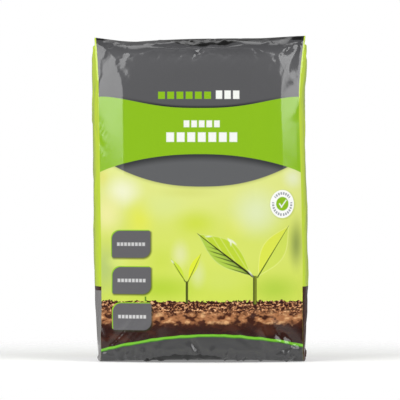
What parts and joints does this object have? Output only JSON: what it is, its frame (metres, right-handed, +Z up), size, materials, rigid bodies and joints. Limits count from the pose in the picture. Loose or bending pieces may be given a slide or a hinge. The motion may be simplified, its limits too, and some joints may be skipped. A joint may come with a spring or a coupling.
{
  "type": "compost bag",
  "caption": "Full, sealed gusseted plastic film bag of garden compost, standing on its bottom end, with a welded top.",
  "frame": {"origin": "middle of the flat base the bag stands on", "axes": "+Z up to the welded top, -Y out of the printed front, +X to the right of someone facing the front"},
  "size_m": [0.3804, 0.174, 0.5814],
  "materials": {
    "film": "gloss"
  },
  "bodies": {
    "root": {"compost_bag": "film"}
  },
  "joints": []
}
